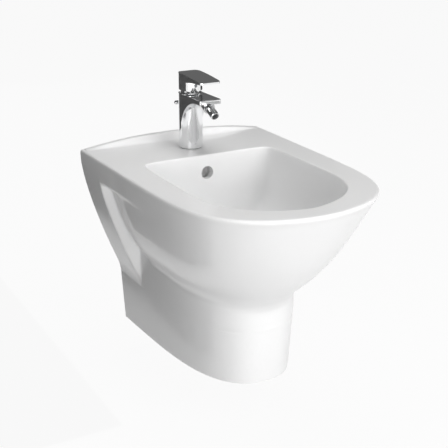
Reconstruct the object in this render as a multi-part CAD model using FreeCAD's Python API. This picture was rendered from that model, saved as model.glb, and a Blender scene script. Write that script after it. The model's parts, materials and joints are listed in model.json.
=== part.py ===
import FreeCAD, Part
import math
import os

# Wall-hung bidet with a single-lever tap and a pop-up waste.
# Millimetres. +Z is up, the wall is the plane y = 0 and the front faces -Y.
# The origin lies on the wall, midway between the two wall studs.

V = FreeCAD.Vector

# Ceramic body: overall sizes
WIDTH = 355.0
PROJECTION = 490.0
HEIGHT = 334.0
RIM_ABOVE_STUDS = 130.0
WALL = 12.0
DECK = 20.0
RIM_EDGE = 3.5
SIDE_TAPER = 9.0

# Flank of the bowl, as insets reached at the keel depth
KEEL_DEPTH = 225.0
FLANK_SLOPE = 54.6
FLANK_TUCK = 73.8
FRONT_SLOPE = 123.0
FRONT_TUCK = 89.5
TUCK_POWER = 4.2
FRONT_SQUARENESS = 8.6
KEEL_SQUARENESS = 4.8
FRONT_ROUNDNESS = 1.81

# Back flange against the wall, with the recess in front of it on each side
FLANGE_DEPTH = 75.0
FLANGE_LEAN = 0.065
FLANGE_TUCK = 65.2
FLANGE_STRAIGHT = 15.0
FLANGE_POWER = 1.39
FLANGE_CORNER = 4.0
FLANGE_BLEND = 5.0
BAND_DEPTH = 41.0
RECESS_ROOF = 10.0
RECESS_WAIST = 9.0
RECESS_RUN = 70.0

# Trunk that hides the waste
TRUNK_WIDTH = 211.0
TRUNK_PROJECTION = 336.0
TRUNK_DRAFT = 0.06
TRUNK_TAPER = 11.4
TRUNK_SQUARENESS = 4.35
TRUNK_ROUNDNESS = 2.46
CREASE_SIDE = 6.0
CREASE_FRONT = 30.0

# Bowl
BOWL_WIDTH = 246.0
BOWL_BACK = 134.0
RIM_FRONT = 38.0
BOWL_DEPTH = 145.0
BOWL_EDGE = 3.5
EDGE_LIFT = 0.3
BOWL_BACK_POWER = 3.2
BOWL_SIDE_POWER = 2.4
BOWL_FRONT_POWER = 1.9
BOWL_BOXINESS = 14.0
BOWL_FRONT_SQUARE = 3.0
BOWL_FRONT_ROUND = 1.6
DRAIN_FROM_WALL = 215.0
DRAIN_RADIUS = 23.0
DRAIN_PAD = 38.0
DRAIN_PAD_THICKNESS = 22.0
OVERFLOW_DEPTH = 31.7
OVERFLOW_RADIUS = 11.2
CHANNEL_GAP = 12.0
CHANNEL_WIDTH = 26.0
CHANNEL_WALL = 9.0
CHANNEL_FLOOR = 7.0
RUN_WIDTH = 18.0
RUN_HEIGHT = 8.0

# Arched ledge along the wall
LEDGE_HEIGHT = 13.5
LEDGE_END_HEIGHT = 0.5
LEDGE_HALF = 170.0
LEDGE_TOP = 6.0
LEDGE_RUN = 16.0
LEDGE_POWER = 2.4
LEDGE_SWEEP = 0.7
LEDGE_SPANS = 8

# Back plate and wall studs
BACK_PLATE = 16.0
BACK_OPENING = 120.0
BACK_OPENING_DEPTH = 62.0
STUD_SPACING = 180.0
STUD_HOLE = 6.5
SLEEVE_RADIUS = 9.0
SLEEVE_HEAD = 15.0
SLEEVE_HEAD_THICKNESS = 4.0
WASHER_RADIUS = 17.0
WASHER_THICKNESS = 2.5
STUD_NUT_FLATS = 19.0
STUD_NUT_HEIGHT = 10.0
STUD_NUT_BORE = 6.1

# Tap: column and spout
TAP_FROM_WALL = 73.0
TAP_HOLE = 17.5
TAP_RADIUS = 20.75
TAP_HEIGHT = 96.0
TAP_GASKET = 1.0
GASKET_INSET = 1.2
TAP_EDGE = 1.2
SPOUT_WIDTH = 41.0
SPOUT_REACH = 74.0
SPOUT_LIP = 5.0
SPOUT_FOOT = 67.0
SPOUT_LEG = 1.5
SPOUT_ARCH = 60.0
SPOUT_CORNER = 4.5
NOSE_RADIUS = 10.0
NOSE_BACK = 8.0
NOSE_COVER = 1.0
WATER_RISE = 4.4
INLET_SPREAD = 16.0
INLET_BACK = 1.0
INLET_RADIUS = 5.0
INLET_DEPTH = 12.0

# Nozzle on its ball
NOZZLE_DROP = 24.0
BALL_FORWARD = 60.0
BALL_BELOW_TOP = 10.8
BALL_RADIUS = 6.5
SOCKET_RADIUS = 7.6
SOCKET_BEHIND = 5.6
NECK_RADIUS = 3.6
BARREL_RADIUS = 7.4
BARREL_EDGE = 0.8
BARREL_START = 13.5
BARREL_END = 33.0
BARREL_BORE = 5.5
WATER_BORE = 2.4
AERATOR_LENGTH = 6.0
AERATOR_RECESS = 1.0
AERATOR_HOLES = 6
AERATOR_HOLE = 0.8
AERATOR_CIRCLE = 3.7
RING_LIP = 3.0
RING_LIP_RADIUS = 5.0
RING_MOUTH = 7.2

# Cartridge and lever
CARTRIDGE_RADIUS = 17.3
CARTRIDGE_FLOOR = 60.0
CARTRIDGE_TOP = 92.0
GUIDE_RADIUS = 12.0
GUIDE_FLOOR = 78.0
GUIDE_TOP = 94.0
PIVOT_HEIGHT = 88.0
PIVOT_PIN = 1.5
PIN_SHORT = 1.0
STEM_SIDE = 8.0
STEM_SWING = 9.0
STEM_BOTTOM = 80.0
STEM_TOP = 118.0
DOME_RADIUS = 20.0
DOME_WALL = 1.6
DOME_MOUTH = 13.0
LEVER_REACH = 74.0
LEVER_TIP_WIDTH = 39.0
LEVER_TOP = 131.5
LEVER_TIP_TOP = 126.0
LEVER_TIP_THICKNESS = 4.0
LEVER_SKIRT_FRONT = 100.0
LEVER_SKIRT_BACK = 105.0
LEVER_NECK = 118.6
LEVER_NECK_RUN = 6.0
LEVER_HOLLOW = 1.2
LEVER_CROWN = 0.9
LEVER_NAPE = 3.5
LEVER_NAPE_FALL = 0.26
LEVER_CORNER = 6.0
LEVER_EDGE = 1.6
GRUB_HEIGHT = 110.5
GRUB_RADIUS = 2.5
INDEX_RADIUS = 3.0
INDEX_DEPTH = 3.5

# Tap fixing under the deck
MOUNT_STUD_FORWARD = 13.0
MOUNT_STUD_RADIUS = 3.0
MOUNT_STUD_LENGTH = 74.0
CLAMP_RADIUS = 24.0
CLAMP_SLOT = 27.0
CLAMP_WEB = 6.0
CLAMP_THICKNESS = 3.0
MOUNT_NUT_FLATS = 10.0
MOUNT_NUT_HEIGHT = 5.0

# Lift pull and rod of the pop-up waste
LIFT_TRAVEL = 30.0
ROD_BEHIND_AXIS = 15.0
ROD_RADIUS = 2.0
ROD_SPARE = 10.0
HUB_RADIUS = 3.2
HUB_HEIGHT = 8.0
PULL_LOW = 24.0
PULL_BEHIND_AXIS = 33.0
PULL_HEIGHT = 73.0
PULL_ARM = 2.2
PULL_BAR = 3.5
PULL_BAR_LENGTH = 30.0

# Waste in the drain hole: tops, bottoms and the pivot's depth count from the bowl's floor
FLANGE_RADIUS = 31.5
FLANGE_THICKNESS = 3.0
FLANGE_SEAL = 2.0
FLANGE_GAP = 0.8
FLANGE_BEVEL = 3.0
FLANGE_DISH = 1.0
TUBE_RADIUS = 20.5
TUBE_WALL = 3.0
TUBE_LENGTH = 55.0
UNDER_SEAL = 6.0
LOCKNUT_FLATS = 56.0
LOCKNUT_HEIGHT = 10.0
BODY_RADIUS = 25.0
BODY_BORE = 16.0
BODY_TOP = 47.0
BODY_BOTTOM = 117.0
TAIL_RADIUS = 16.0
TAIL_SHOULDER = 0.4
TAIL_WALL = 1.5
TAIL_BOTTOM = 177.0
TAIL_SOCKET = 7.0
TAIL_NUT_RADIUS = 23.0
TAIL_NUT_HEIGHT = 14.0
GRIP_RADIUS = 2.5
GRIPS = 8

# Plug and its pivot rod
PLUG_RADIUS = 20.0
PLUG_THICKNESS = 4.0
PLUG_BEVEL = 2.0
PLUG_SHOULDER = 3.2
PLUG_SEAL = 1.6
SEAL_INSET = 1.0
PLUG_STEM = 3.5
PLUG_FIN = 2.0
PLUG_FIN_LENGTH = 40.0
PIVOT_DEPTH = 80.0
PIVOT_ARM = 30.0
PIVOT_BALL = 6.0
PIVOT_ROD = 2.5
EYE_FROM_ROD = 17.0
EYE_CLEARANCE = 1.1
EYE_LENGTH = 6.0
EYE_WALL = 3.0
PORT_RADIUS = 11.0
GLAND_WALL = 2.4
GLAND_MOUTH = 5.2
GLAND_GAP = 0.8
CLAMP_SCREW = 2.0

# Clearances
RUNNING = 0.1
SLIDING = 0.4
SPHERE_GAP = 0.3
CUT_PAST = 1.0

# Sampling of the formed ceramic surfaces
SECTION_STEP = 9.0
RAYS = 13
HOLLOW_RAYS = 9
EGG_POINTS = 28
OVERSHOOT = 8.0

# Places that several pieces share
DECK_Z = RIM_ABOVE_STUDS
TAP_Y = -TAP_FROM_WALL
DRAIN_Y = -DRAIN_FROM_WALL
LEVER_PIVOT = V(0, TAP_Y, DECK_Z + PIVOT_HEIGHT)
ROD_Y = TAP_Y + ROD_BEHIND_AXIS
PULL_Y = TAP_Y + PULL_BEHIND_AXIS
PIVOT = V(0, DRAIN_Y + PIVOT_ARM, DECK_Z - BOWL_DEPTH - PIVOT_DEPTH)
EYE_ARM = ROD_Y - EYE_FROM_ROD - PIVOT.y
ROD_TILT = math.degrees(math.atan2(LIFT_TRAVEL / 2, EYE_ARM))
PLUG_TRAVEL = LIFT_TRAVEL * PIVOT_ARM / EYE_ARM
PORT_LENGTH = PIVOT_ARM + math.sqrt((PIVOT_BALL + RUNNING) ** 2 - GLAND_MOUTH ** 2)
SEAT = BOWL_DEPTH + FLANGE_THICKNESS + FLANGE_SEAL
PAD_BOTTOM = SEAT + DRAIN_PAD_THICKNESS
RAY_CENTRE = FLANGE_DEPTH + CREASE_SIDE + RECESS_RUN
TAIL_NECK = TAIL_RADIUS - TAIL_SHOULDER


# Helpers

def level(depth):
    """Height of a plane that lies a depth below the rim."""
    return DECK_Z - depth


def below_bowl(depth):
    """Height of a plane that lies a depth below the bowl's floor."""
    return level(BOWL_DEPTH + depth)


def ease(u):
    """Smooth step from 0 to 1."""
    u = min(max(u, 0.0), 1.0)
    return u * u * (3 - 2 * u)


def blend_max(a, b, reach):
    """Larger of two lengths, rounded over where they cross."""
    overlap = max(reach - abs(a - b), 0.0)
    return max(a, b) + overlap * overlap / (4 * reach)


def edge_inset(depth, radius):
    """How far a rounded edge stands in at a depth below its top."""
    return radius - math.sqrt(radius * radius - (radius - min(depth, radius)) ** 2)


def rod(radius, start, end):
    return Part.makeCylinder(radius, (end - start).Length, start, end - start)


def post(radius, x, y, low, high):
    return Part.makeCylinder(radius, high - low, V(x, y, low))


def ring(outer, inner, x, y, low, high):
    return post(outer, x, y, low, high).cut(post(inner, x, y, low, high))


def block(x0, x1, y0, y1, z0, z1):
    return Part.makeBox(x1 - x0, y1 - y0, z1 - z0, V(x0, y0, z0))


def prism(points, along):
    """Solid of a closed outline, swept along a vector."""
    return Part.Face(Part.makePolygon(points + points[:1])).extrude(along)


def hexagon(flats, centre, along):
    """Hexagonal bar of a width across flats."""
    corner = flats / math.sqrt(3)
    frame = FreeCAD.Rotation(V(0, 0, 1), along)
    points = []
    for i in range(6):
        angle = math.radians(60 * i)
        points.append(centre + frame.multVec(V(corner * math.cos(angle), corner * math.sin(angle), 0)))
    return prism(points, along)


def revolve(profile, axis_point, axis):
    """Solid of revolution of a closed outline of points."""
    face = Part.Face(Part.makePolygon(profile + profile[:1]))
    return face.revolve(axis_point, axis, 360)


def save(name, *solids):
    shape = solids[0] if len(solids) == 1 else Part.makeCompound(list(solids))
    shape.exportStep("parts/" + name + ".step")


# Ceramic body

def flange_side(out, depth, inset):
    """Half width of the back flange at a distance out from the wall."""
    drop = max(depth - FLANGE_STRAIGHT, 0.0) / (KEEL_DEPTH - FLANGE_STRAIGHT)
    return WIDTH / 2 - FLANGE_TUCK * drop ** FLANGE_POWER - SIDE_TAPER * out / PROJECTION - inset


def bowl_side(out, depth, inset):
    """Half width of the bowl's outer form at a distance out from the wall."""
    u = max(depth - RIM_EDGE, 0.0) / KEEL_DEPTH
    half = WIDTH / 2 - FLANK_SLOPE * u - FLANK_TUCK * u ** TUCK_POWER - inset
    reach = PROJECTION - FRONT_SLOPE * u - FRONT_TUCK * u ** TUCK_POWER - inset
    if half <= 0 or out >= reach:
        return 0.0
    t = max(out, 0.0) / reach
    squareness = max(FRONT_SQUARENESS + (KEEL_SQUARENESS - FRONT_SQUARENESS) * u, 2.0)
    side = max(half - SIDE_TAPER * t, 0.0) * (1 - t ** squareness) ** (1 / FRONT_ROUNDNESS)
    waist = ease((depth - BAND_DEPTH) / RECESS_ROOF) * ease((RAY_CENTRE - out) / RECESS_RUN)
    return max(side - RECESS_WAIST * waist, 0.0)


def trunk_side(out, depth, inset):
    """Half width of the trunk at a distance out from the wall."""
    rise = HEIGHT - max(depth, KEEL_DEPTH)
    reach = TRUNK_PROJECTION + TRUNK_DRAFT * rise - inset
    if depth < 2 * BAND_DEPTH or out >= reach:
        return 0.0
    t = max(out, 0.0) / reach
    half = TRUNK_WIDTH / 2 + TRUNK_DRAFT * rise - TRUNK_TAPER * t - inset
    return half * (1 - t ** TRUNK_SQUARENESS) ** (1 / TRUNK_ROUNDNESS)


def along_ray(side, heading, depth, inset):
    """Distance from the ray centre to a form's outline, by halving."""
    near = 0.0
    far = PROJECTION
    for _ in range(40):
        middle = (near + far) / 2
        if side(RAY_CENTRE + middle * math.cos(heading), depth, inset) > middle * math.sin(heading):
            near = middle
        else:
            far = middle
    return near


def flange_stations(front):
    """Distances from the wall at which the flank is sampled, closest at the flange's corner."""
    near = [front + step * FLANGE_CORNER for step in (-2.2, -1.1, -0.5, 0.0, 0.5, 1.1, 2.2, 4.5, 8.0)]
    return [-OVERSHOOT, front / 3, front * 2 / 3] + near + [(near[-1] + RAY_CENTRE) / 2, RAY_CENTRE]


def hollow_stations(front):
    """Fewer such distances, for the rough inner walls."""
    near = [front + step * FLANGE_CORNER for step in (-2.2, -1.1, 0.0, 1.1, 2.2, 8.0)]
    return [-OVERSHOOT, front / 2] + near + [RAY_CENTRE]


def body_section(depth, inset, stations, rays):
    """Outline of the outer form at a depth below the rim, from one wall edge round to the other."""
    front = FLANGE_DEPTH + FLANGE_LEAN * (depth - BAND_DEPTH) - inset
    recess = ease((depth - BAND_DEPTH) / RECESS_ROOF)
    reach = RUNNING + FLANGE_BLEND * recess
    half = []
    for out in stations(front):
        body = blend_max(bowl_side(out, depth, inset), trunk_side(out, depth, inset), CREASE_SIDE)
        corner = ease((front + FLANGE_CORNER - out) / (2 * FLANGE_CORNER))
        gentle = ease((RAY_CENTRE + RECESS_RUN - out) / (RAY_CENTRE + RECESS_RUN - FLANGE_DEPTH))
        share = gentle + (corner - gentle) * recess
        widening = (blend_max(flange_side(out, depth, inset), body, reach) - body) * share
        half.append((body + widening, out))
    for i in range(1, rays + 1):
        heading = math.pi / 2 * (1 - i / rays)
        crease = CREASE_SIDE + (CREASE_FRONT - CREASE_SIDE) * math.cos(heading) ** 2
        bowl = along_ray(bowl_side, heading, depth, inset)
        trunk = along_ray(trunk_side, heading, depth, inset)
        radius = blend_max(bowl, trunk, crease) + widening * math.sin(heading) ** 8
        half.append((radius * math.sin(heading), RAY_CENTRE + radius * math.cos(heading)))
    half[-1] = (0.0, half[-1][1])
    right = [V(x, -out, level(depth)) for x, out in half]
    return right + [V(-p.x, p.y, p.z) for p in reversed(right[:-1])]


def spacing(points):
    """Parameters that grow with the root of the distance along points."""
    steps = [0.0]
    for a, b in zip(points, points[1:]):
        steps.append(steps[-1] + math.sqrt((b - a).Length))
    return [s / steps[-1] for s in steps]


def body_loft(depths, insets, stations, rays, ruled):
    """Solid through outlines of the outer form, running past the wall plane."""
    parameters = spacing(body_section(2 * BAND_DEPTH, 0.0, stations, rays))
    wires = []
    for depth, inset in zip(depths, insets):
        points = body_section(depth, inset, stations, rays)
        curve = Part.BSplineCurve()
        curve.interpolate(Points=points, Parameters=parameters)
        wires.append(Part.Wire([curve.toShape(), Part.makeLine(points[-1], points[0])]))
    return Part.makeLoft(wires, True, ruled)


def depth_stations(top, bottom, step):
    """Evenly spaced depths."""
    count = math.ceil((bottom - top) / step)
    return [top + (bottom - top) * i / count for i in range(count + 1)]


def edge_stations(radius):
    """Depths down a rounded edge."""
    return [radius * (1 - math.cos(math.radians(angle))) for angle in (0, 24, 45, 67)]


def outer_form():
    """Formed skin down to where the trunk runs straight, and the straight trunk below."""
    straight = KEEL_DEPTH + 2 * SECTION_STEP
    depths = edge_stations(RIM_EDGE) + depth_stations(RIM_EDGE, straight, SECTION_STEP)
    insets = [edge_inset(depth, RIM_EDGE) for depth in depths]
    upper = body_loft(depths, insets, flange_stations, RAYS, False)
    trunk = body_loft([straight, HEIGHT], [0.0, 0.0], flange_stations, RAYS, True)
    behind = block(-WIDTH, WIDTH, 0, 3 * OVERSHOOT, level(HEIGHT) - CUT_PAST, DECK_Z + CUT_PAST)
    return upper.cut(behind).fuse(trunk.cut(behind))


def egg(half, back, middle, front, boxiness, front_power, side_power, z):
    """Closed outline with a boxy back and a round front."""
    points = []
    for i in range(EGG_POINTS):
        angle = 2 * math.pi * i / EGG_POINTS
        c = math.cos(angle)
        s = math.sin(angle)
        if c >= 0:
            x = half * math.copysign(abs(s) ** (2 / boxiness), s)
            y = middle + (back - middle) * c ** (2 / boxiness)
        else:
            x = half * math.copysign(abs(s) ** (2 / side_power), s)
            y = middle + (front - middle) * abs(c) ** (2 / front_power)
        points.append(V(x, y, z))
    return points


def tuck(u, power):
    """How far a wall that starts upright has run in at a share of the depth."""
    return 1 - (1 - u ** power) ** (1 / power)


def bowl_section(depth, grow, flare):
    """Outline of the bowl at a depth, grown all round for its shell or its rounded rim."""
    u = max(depth, 0.0) / BOWL_DEPTH
    floor_radius = FLANGE_RADIUS + FLANGE_SEAL
    rim_half = BOWL_WIDTH / 2
    rim_front = -(PROJECTION - RIM_FRONT)
    rim_middle = (rim_front - BOWL_BACK) / 2
    out = grow + flare
    half = rim_half + (floor_radius - rim_half) * tuck(u, BOWL_SIDE_POWER) + out
    back = -BOWL_BACK + (DRAIN_Y + floor_radius + BOWL_BACK) * tuck(u, BOWL_BACK_POWER) + out
    front = rim_front + (DRAIN_Y - floor_radius - rim_front) * tuck(u, BOWL_FRONT_POWER) - out
    middle = rim_middle + (DRAIN_Y - rim_middle) * tuck(u, BOWL_SIDE_POWER)
    boxiness = BOWL_BOXINESS + (2 - BOWL_BOXINESS) * u * u
    front_power = BOWL_FRONT_SQUARE + (2 - BOWL_FRONT_SQUARE) * u
    side_power = BOWL_FRONT_ROUND + (2 - BOWL_FRONT_ROUND) * u
    return egg(half, back, middle, front, boxiness, front_power, side_power, level(depth + grow * u))


def bowl_form(depths, grow, flares):
    """Solid through outlines of the bowl."""
    first = bowl_section(depths[0], grow, flares[0])
    parameters = spacing(first + first[:1])
    wires = []
    for depth, flare in zip(depths, flares):
        curve = Part.BSplineCurve()
        points = bowl_section(depth, grow, flare)
        curve.interpolate(Points=points, PeriodicFlag=True, Parameters=parameters)
        wires.append(Part.Wire([curve.toShape()]))
    return Part.makeLoft(wires, True, False)


def bowl_fall(count):
    """Depths from below the rim's edge to the floor, closer together as the floor flattens."""
    fall = BOWL_DEPTH - BOWL_EDGE
    return [BOWL_EDGE + fall * math.sin(math.pi / 2 * i / count) for i in range(count + 1)]


def bowl_hollow():
    """The bowl itself, whose rounded rim runs out just above the deck."""
    rim = [depth - EDGE_LIFT for depth in edge_stations(BOWL_EDGE)]
    depths = rim + bowl_fall(10)
    return bowl_form(depths, 0.0, [edge_inset(depth + EDGE_LIFT, BOWL_EDGE) for depth in depths])


def bowl_shell():
    """The bowl with its wall around it."""
    depths = [0.0] + bowl_fall(6)
    return bowl_form(depths, WALL, [0.0] * len(depths))


def overflow_boss(extra):
    """Upright and level runs of the overflow channel, or with extra the ceramic around them."""
    half = CHANNEL_WIDTH / 2
    back = -(BOWL_BACK - WALL)
    upper = DECK if extra else OVERFLOW_DEPTH - OVERFLOW_RADIUS
    lower = PAD_BOTTOM - (0 if extra else CHANNEL_FLOOR)
    upright = block(-half - extra, half + extra, back - extra, back + CHANNEL_GAP + extra,
                    level(lower), level(upper))
    run_top = lower - RUN_HEIGHT - extra
    run = block(-RUN_WIDTH / 2 - extra, RUN_WIDTH / 2 + extra, DRAIN_Y, back + CHANNEL_GAP,
                level(lower), level(run_top))
    return upright.fuse(run)


def service_hollow():
    """Space inside the trunk and behind the bowl, open below."""
    depths = depth_stations(DECK, HEIGHT + OVERSHOOT, 3 * SECTION_STEP)
    solid = body_loft(depths, [WALL] * len(depths), hollow_stations, HOLLOW_RAYS, True)
    plate = block(-WIDTH, WIDTH, -BACK_PLATE, 3 * OVERSHOOT, level(HEIGHT) - 2 * OVERSHOOT, DECK_Z)
    solid = solid.cut(plate)
    pad = post(DRAIN_PAD, 0, DRAIN_Y, level(PAD_BOTTOM), level(BOWL_DEPTH - WALL))
    return solid.cut(bowl_shell()).cut(overflow_boss(CHANNEL_WALL)).cut(pad)


def ledge():
    """Arched upstand along the wall, lofted from one side to the other."""
    wires = []
    for i in range(LEDGE_SPANS + 1):
        x = LEDGE_HALF * (2 * i / LEDGE_SPANS - 1)
        height = max(LEDGE_HEIGHT * (1 - abs(x / LEDGE_HALF) ** LEDGE_POWER), LEDGE_END_HEIGHT)
        top = V(x, -LEDGE_TOP, DECK_Z + height)
        foot = V(x, -LEDGE_TOP - LEDGE_RUN, DECK_Z)
        sweep = Part.BezierCurve()
        sweep.setPoles([top, top + V(0, -LEDGE_RUN / 2, 0), foot + V(0, LEDGE_RUN * LEDGE_SWEEP, 0), foot])
        corners = [foot, foot + V(0, 0, -RIM_EDGE), V(x, 0, DECK_Z - RIM_EDGE), V(x, 0, top.z), top]
        edges = [Part.makeLine(a, b) for a, b in zip(corners, corners[1:])]
        wires.append(Part.Wire([sweep.toShape()] + edges))
    return Part.makeLoft(wires, True, False)


def ceramic_body():
    body = outer_form().fuse(ledge())
    body = body.cut(bowl_hollow()).cut(service_hollow())
    half = BACK_OPENING / 2
    bottom = level(HEIGHT) - CUT_PAST
    body = body.cut(block(-half, half, -BACK_PLATE - CUT_PAST, CUT_PAST, bottom, level(BACK_OPENING_DEPTH)))
    body = body.cut(post(TAP_HOLE, 0, TAP_Y, level(DECK + CUT_PAST), DECK_Z + CUT_PAST))
    body = body.cut(post(FLANGE_RADIUS + FLANGE_GAP, 0, DRAIN_Y, level(SEAT), level(BOWL_DEPTH - CUT_PAST)))
    body = body.cut(post(DRAIN_RADIUS, 0, DRAIN_Y, level(PAD_BOTTOM + CUT_PAST), level(SEAT - CUT_PAST)))
    back = -(BOWL_BACK - WALL)
    mouth = V(0, back - 2 * WALL, level(OVERFLOW_DEPTH))
    body = body.cut(rod(OVERFLOW_RADIUS, mouth, V(0, back + CHANNEL_GAP / 2, mouth.z)))
    body = body.cut(overflow_boss(0.0))
    for side in (-1, 1):
        x = side * STUD_SPACING / 2
        body = body.cut(rod(SLEEVE_RADIUS + RUNNING, V(x, -BACK_PLATE - CUT_PAST, 0), V(x, CUT_PAST, 0)))
    return body.removeSplitter()


# Wall fixings, one set on each stud

def stud_stack(build):
    """A piece on both wall studs."""
    return [build(side * STUD_SPACING / 2) for side in (-1, 1)]


def fixing_sleeve(x):
    inner = V(x, -BACK_PLATE, 0)
    head_end = inner - V(0, SLEEVE_HEAD_THICKNESS, 0)
    body = rod(SLEEVE_RADIUS, V(x, 0, 0), inner).fuse(rod(SLEEVE_HEAD, inner, head_end))
    return body.cut(rod(STUD_HOLE, V(x, CUT_PAST, 0), head_end - V(0, CUT_PAST, 0)))


def fixing_washer(x):
    face = V(x, -BACK_PLATE - SLEEVE_HEAD_THICKNESS, 0)
    back = face - V(0, WASHER_THICKNESS, 0)
    return rod(WASHER_RADIUS, face, back).cut(rod(STUD_HOLE, face, back))


def fixing_nut(x):
    face = V(x, -BACK_PLATE - SLEEVE_HEAD_THICKNESS - WASHER_THICKNESS, 0)
    along = V(0, -STUD_NUT_HEIGHT, 0)
    return hexagon(STUD_NUT_FLATS, face, along).cut(rod(STUD_NUT_BORE, face, face + along))


# Tap body

def tap_z(height):
    """Height above the deck."""
    return DECK_Z + height


NOZZLE_AXIS = V(0, -math.cos(math.radians(NOZZLE_DROP)), -math.sin(math.radians(NOZZLE_DROP)))
BALL = V(0, TAP_Y - BALL_FORWARD, DECK_Z + TAP_HEIGHT - BALL_BELOW_TOP)


def on_nozzle(distance):
    """Point on the nozzle's axis, from the ball's centre."""
    return BALL + NOZZLE_AXIS * distance


def spout_lip():
    return V(0, TAP_Y - SPOUT_REACH, tap_z(TAP_HEIGHT - SPOUT_LIP))


def face_distance():
    """From the ball's centre to the spout's slanted front face."""
    return (spout_lip() - BALL).dot(NOZZLE_AXIS)


def spout_plate():
    """Flat-topped spout on a round arch, with a slanted front face."""
    half = SPOUT_WIDTH / 2
    top = tap_z(TAP_HEIGHT)
    front = TAP_Y - SPOUT_REACH
    foot = top - SPOUT_FOOT
    plate = block(-half, half, front, TAP_Y, foot, top)
    tall = [e for e in plate.Edges if e.BoundBox.ZLength > SPOUT_LIP]
    plate = plate.makeFillet(SPOUT_CORNER, [e for e in tall if e.CenterOfMass.y < front + RUNNING])
    flat = [e for e in plate.Edges if e.BoundBox.ZMin > top - RUNNING]
    plate = plate.makeFillet(TAP_EDGE, [e for e in flat if e.CenterOfMass.y < TAP_Y - RUNNING])
    side = V(SPOUT_WIDTH, 0, 0)
    centre = V(0, TAP_Y - SPOUT_LEG - SPOUT_ARCH, foot)
    plate = plate.cut(rod(SPOUT_ARCH, centre - side, centre + side))
    lip = spout_lip()
    down = V(0, math.sin(math.radians(NOZZLE_DROP)), -math.cos(math.radians(NOZZLE_DROP))) * SPOUT_FOOT
    below = V(0, lip.y - SPOUT_FOOT, lip.z) + down
    wedge = prism([lip - side, lip - side + down, below - side, V(0, below.y, lip.z) - side], side * 2)
    return plate.cut(wedge)


def spout_nose():
    """Round boss under the spout that holds the nozzle's ball."""
    back = on_nozzle(-NOSE_BACK)
    nose = rod(NOSE_RADIUS, back, on_nozzle(face_distance())).fuse(Part.makeSphere(NOSE_RADIUS, back))
    cover = tap_z(TAP_HEIGHT) - NOSE_COVER
    above = block(-SPOUT_WIDTH, SPOUT_WIDTH, TAP_Y - 2 * SPOUT_REACH, TAP_Y, cover, cover + SPOUT_WIDTH)
    return nose.cut(above)


def tap_body():
    low = tap_z(TAP_GASKET)
    top = tap_z(TAP_HEIGHT)
    body = post(TAP_RADIUS, 0, TAP_Y, low, top).fuse([spout_plate(), spout_nose()]).removeSplitter()
    body = body.cut(post(CARTRIDGE_RADIUS + RUNNING, 0, TAP_Y, tap_z(CARTRIDGE_FLOOR), top + CUT_PAST))
    body = body.cut(post(ROD_RADIUS + RUNNING, 0, ROD_Y, low - CUT_PAST, tap_z(PULL_LOW)))
    slot_low = tap_z(PULL_LOW - HUB_HEIGHT / 2 - SLIDING)
    slot_top = tap_z(PULL_LOW + LIFT_TRAVEL + HUB_HEIGHT / 2 + SLIDING)
    body = body.cut(post(HUB_RADIUS + SLIDING, 0, ROD_Y, slot_low, slot_top))
    half = PULL_ARM + SLIDING
    slot = block(-half, half, ROD_Y, TAP_Y + TAP_RADIUS + CUT_PAST, slot_low, slot_top)
    body = body.cut(slot)
    for side in (-1, 1):
        x = side * INLET_SPREAD / 2
        body = body.cut(post(INLET_RADIUS, x, TAP_Y + INLET_BACK, low - CUT_PAST, low + INLET_DEPTH))
    stud_y = TAP_Y - MOUNT_STUD_FORWARD
    body = body.cut(post(MOUNT_STUD_RADIUS, 0, stud_y, low - CUT_PAST, low + INLET_DEPTH))
    socket = rod(SOCKET_RADIUS, on_nozzle(-SOCKET_BEHIND), on_nozzle(face_distance() + SPOUT_LIP))
    socket = socket.fuse(Part.makeSphere(BALL_RADIUS + SPHERE_GAP, BALL))
    waterway = rod(WATER_BORE, V(0, TAP_Y, top - WATER_RISE), BALL)
    return body.cut(socket).cut(waterway).removeSplitter()


def tap_base_gasket():
    low = DECK_Z
    return ring(TAP_RADIUS - GASKET_INSET, TAP_HOLE, 0, TAP_Y, low, low + TAP_GASKET)


def clamp_plate(top):
    """Horseshoe that leaves room for the hoses and the lift rod."""
    plate = post(CLAMP_RADIUS, 0, TAP_Y, top - CLAMP_THICKNESS, top)
    stud_y = TAP_Y - MOUNT_STUD_FORWARD
    half = CLAMP_SLOT / 2
    low = top - CLAMP_THICKNESS
    plate = plate.cut(block(-half, half, stud_y + CLAMP_WEB, TAP_Y + CLAMP_RADIUS, low, top))
    return plate.cut(post(MOUNT_STUD_RADIUS + RUNNING, 0, stud_y, low, top))


def mounting_stud():
    top = tap_z(TAP_GASKET) + INLET_DEPTH
    return post(MOUNT_STUD_RADIUS - RUNNING / 2, 0, TAP_Y - MOUNT_STUD_FORWARD, top - MOUNT_STUD_LENGTH, top)


def mounting_nut():
    face = V(0, TAP_Y - MOUNT_STUD_FORWARD, level(DECK) - 2 * CLAMP_THICKNESS)
    along = V(0, 0, -MOUNT_NUT_HEIGHT)
    return hexagon(MOUNT_NUT_FLATS, face, along).cut(rod(MOUNT_STUD_RADIUS, face, face + along))


# Cartridge and lever

def cartridge_body():
    body = post(CARTRIDGE_RADIUS, 0, TAP_Y, tap_z(CARTRIDGE_FLOOR), tap_z(CARTRIDGE_TOP))
    bore = post(GUIDE_RADIUS + RUNNING, 0, TAP_Y, tap_z(GUIDE_FLOOR), tap_z(CARTRIDGE_TOP + CUT_PAST))
    return body.cut(bore)


def cartridge_guide():
    body = post(GUIDE_RADIUS, 0, TAP_Y, tap_z(GUIDE_FLOOR), tap_z(GUIDE_TOP))
    half = STEM_SIDE / 2 + RUNNING
    slot = block(-half, half, TAP_Y - STEM_SWING, TAP_Y + STEM_SWING, tap_z(GUIDE_FLOOR), tap_z(GUIDE_TOP))
    return body.cut(slot).cut(pivot_pin(0.0))


def pivot_pin(extra):
    half = V(GUIDE_RADIUS - PIN_SHORT, 0, 0)
    return rod(PIVOT_PIN + extra, LEVER_PIVOT - half, LEVER_PIVOT + half)


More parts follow.
